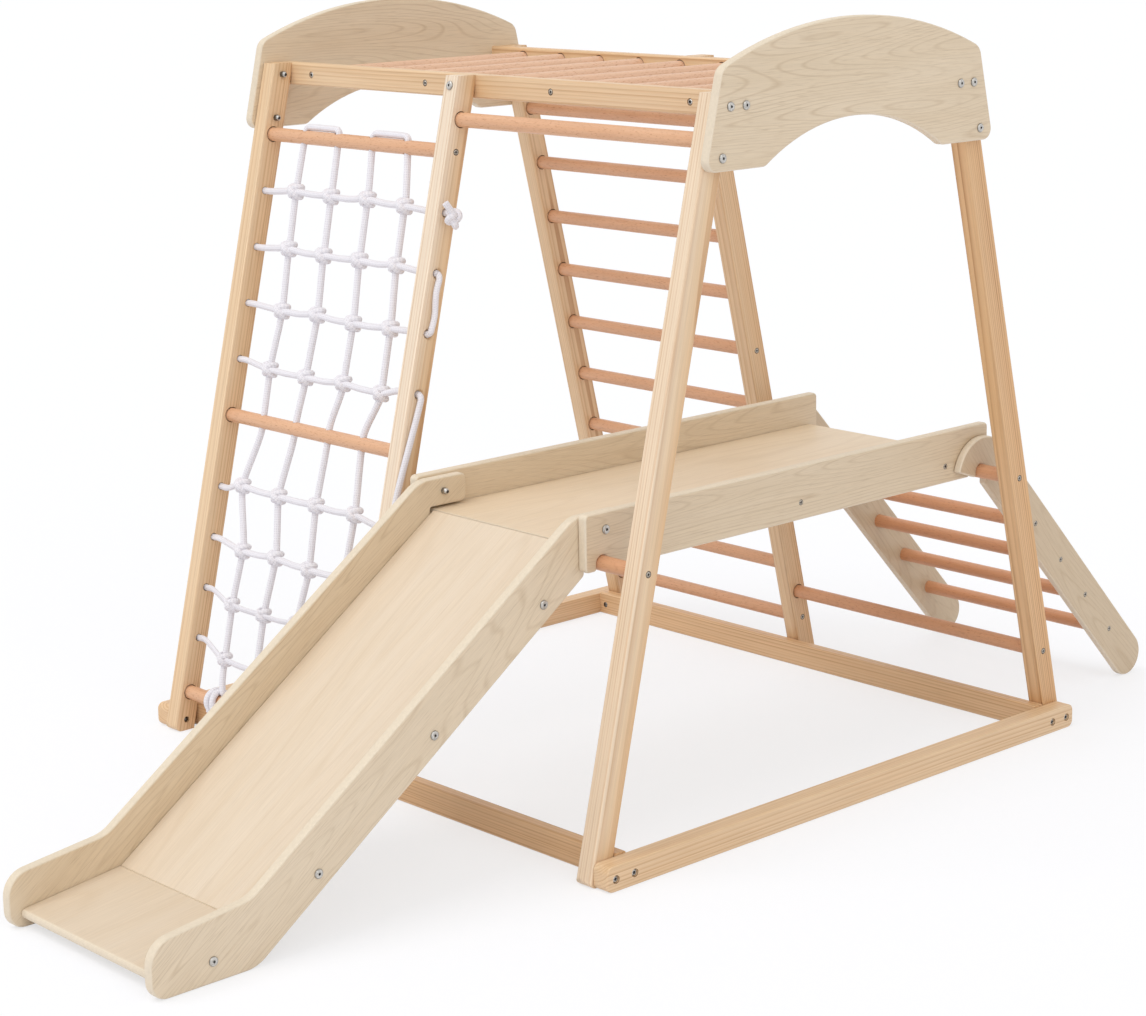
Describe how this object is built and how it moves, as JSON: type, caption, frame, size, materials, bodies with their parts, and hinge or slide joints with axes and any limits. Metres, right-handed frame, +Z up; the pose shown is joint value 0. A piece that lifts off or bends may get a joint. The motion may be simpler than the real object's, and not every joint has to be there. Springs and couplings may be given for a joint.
{
  "type": "wooden climbing frame",
  "caption": "Free-standing wooden climbing frame with leaning legs, monkey bars, arched end panels, a knotted rope net, a rung ladder, a platform with a slide and a hooked-on step ladder.",
  "frame": {"origin": "on the floor under the middle of the whole object", "axes": "+X along the top rails from the net to the platform, -Y to the slide's toe, +Z up"},
  "size_m": [1.206, 2.2657, 1.303],
  "materials": {
    "pine": "clear satin lacquer",
    "beech": "clear satin lacquer",
    "plywood": "clear satin lacquer",
    "rope": "braided white cotton",
    "steel": "zinc plated",
    "dark_steel": "dulled plating"
  },
  "bodies": {
    "frame": {"left_ground_rail": "pine", "right_ground_rail": "pine", "front_ground_rail": "pine", "back_ground_rail": "pine", "front_left_leg": "pine", "front_middle_leg": "pine", "front_right_leg": "pine", "back_left_leg": "pine", "back_middle_leg": "pine", "back_right_leg": "pine", "front_top_rail": "pine", "back_top_rail": "pine", "left_arch_panel": "plywood", "right_arch_panel": "plywood", "monkey_bar_1": "beech", "monkey_bar_2": "beech", "monkey_bar_3": "beech", "monkey_bar_4": "beech", "monkey_bar_5": "beech", "monkey_bar_6": "beech", "monkey_bar_7": "beech", "monkey_bar_8": "beech", "monkey_bar_9": "beech", "monkey_bar_10": "beech", "ladder_rung_1": "beech", "ladder_rung_2": "beech", "ladder_rung_3": "beech", "ladder_rung_4": "beech", "ladder_rung_5": "beech", "ladder_rung_6": "beech", "ladder_rung_7": "beech", "ladder_rung_8": "beech", "ladder_rung_9": "beech", "ladder_rung_10": "beech", "net_top_rung": "beech", "net_middle_rung": "beech", "net_bottom_rung": "beech", "climbing_net": "rope", "front_top_rung": "beech", "front_carrying_rung": "beech", "back_carrying_rung": "beech", "back_low_rung": "beech", "frame_bolts": "steel", "frame_nuts": "steel", "rung_screws": "dark_steel"},
    "platform": {"platform_left_side": "plywood", "platform_right_side": "plywood", "platform_deck": "plywood", "platform_screws": "dark_steel", "pivot_bolts": "steel"},
    "slide": {"slide_left_side": "plywood", "slide_right_side": "plywood", "slide_bed": "plywood", "slide_runout": "plywood", "slide_bolts": "steel"},
    "step_ladder": {"step_ladder_left_side": "plywood", "step_ladder_right_side": "plywood", "step_ladder_rungs": "beech", "step_ladder_screws": "dark_steel"}
  },
  "joints": [
    {"name": "platform_lift", "type": "slide", "parent": "frame", "child": "platform", "axis": [0, 0, 1], "range_m": [0, 0.1]},
    {"name": "slide_hinge", "type": "hinge", "parent": "platform", "child": "slide", "pos_m": [0.25525, -0.26983, 0.5297], "axis": [-1, 0, 0], "range_deg": [0, 5]},
    {"name": "step_ladder_hinge", "type": "hinge", "parent": "frame", "child": "step_ladder", "pos_m": [0.25525, 0.63695, 0.4764], "axis": [1, 0, 0], "range_deg": [0, 45]}
  ]
}
